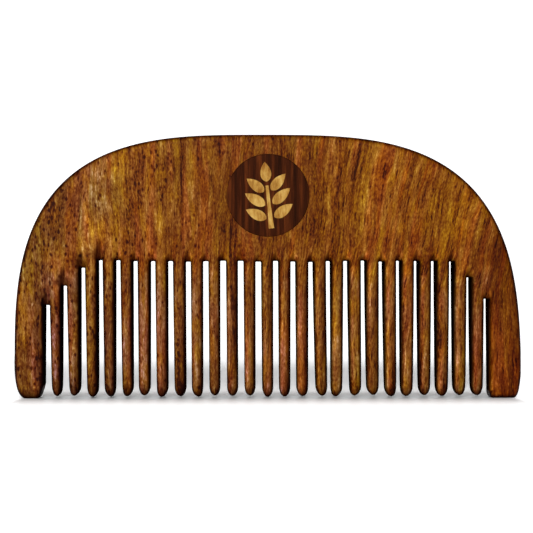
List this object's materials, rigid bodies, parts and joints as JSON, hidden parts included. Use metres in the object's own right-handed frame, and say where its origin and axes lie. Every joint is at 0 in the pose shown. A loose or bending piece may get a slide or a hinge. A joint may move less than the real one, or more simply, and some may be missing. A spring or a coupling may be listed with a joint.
{
  "type": "beard comb",
  "caption": "Wooden beard comb with an arched back, fine rounded teeth between two wide guard teeth, and a dark inlaid roundel with a pale leaf sprig.",
  "frame": {"origin": "under the middle of the comb, on the plane the two guard teeth stand on", "axes": "+X along the row of teeth, +Y through the board away from the roundel, +Z from the teeth up to the arched back"},
  "size_m": [0.1158, 0.0096, 0.0602],
  "materials": {
    "comb_wood": "oiled satin, streaked rosewood",
    "roundel_wood": "dark wood, satin",
    "inlay_wood": "pale wood, satin"
  },
  "bodies": {
    "root": {"spine": "comb_wood", "root_web_01": "comb_wood", "root_web_02": "comb_wood", "root_web_03": "comb_wood", "root_web_25": "comb_wood", "root_web_26": "comb_wood", "guard_tooth_left": "comb_wood", "guard_tooth_right": "comb_wood", "tooth_01": "comb_wood", "tooth_02": "comb_wood", "tooth_03": "comb_wood", "tooth_04": "comb_wood", "tooth_05": "comb_wood", "tooth_06": "comb_wood", "tooth_07": "comb_wood", "tooth_08": "comb_wood", "tooth_09": "comb_wood", "tooth_10": "comb_wood", "tooth_11": "comb_wood", "tooth_12": "comb_wood", "tooth_13": "comb_wood", "tooth_14": "comb_wood", "tooth_15": "comb_wood", "tooth_16": "comb_wood", "tooth_17": "comb_wood", "tooth_18": "comb_wood", "tooth_19": "comb_wood", "tooth_20": "comb_wood", "tooth_21": "comb_wood", "tooth_22": "comb_wood", "tooth_23": "comb_wood", "tooth_24": "comb_wood", "tooth_25": "comb_wood", "emblem_disc": "roundel_wood", "stalk": "inlay_wood", "leaf_top": "inlay_wood", "leaf_left_1": "inlay_wood", "leaf_right_1": "inlay_wood", "leaf_left_2": "inlay_wood", "leaf_right_2": "inlay_wood", "leaf_left_3": "inlay_wood", "leaf_right_3": "inlay_wood"}
  },
  "joints": []
}
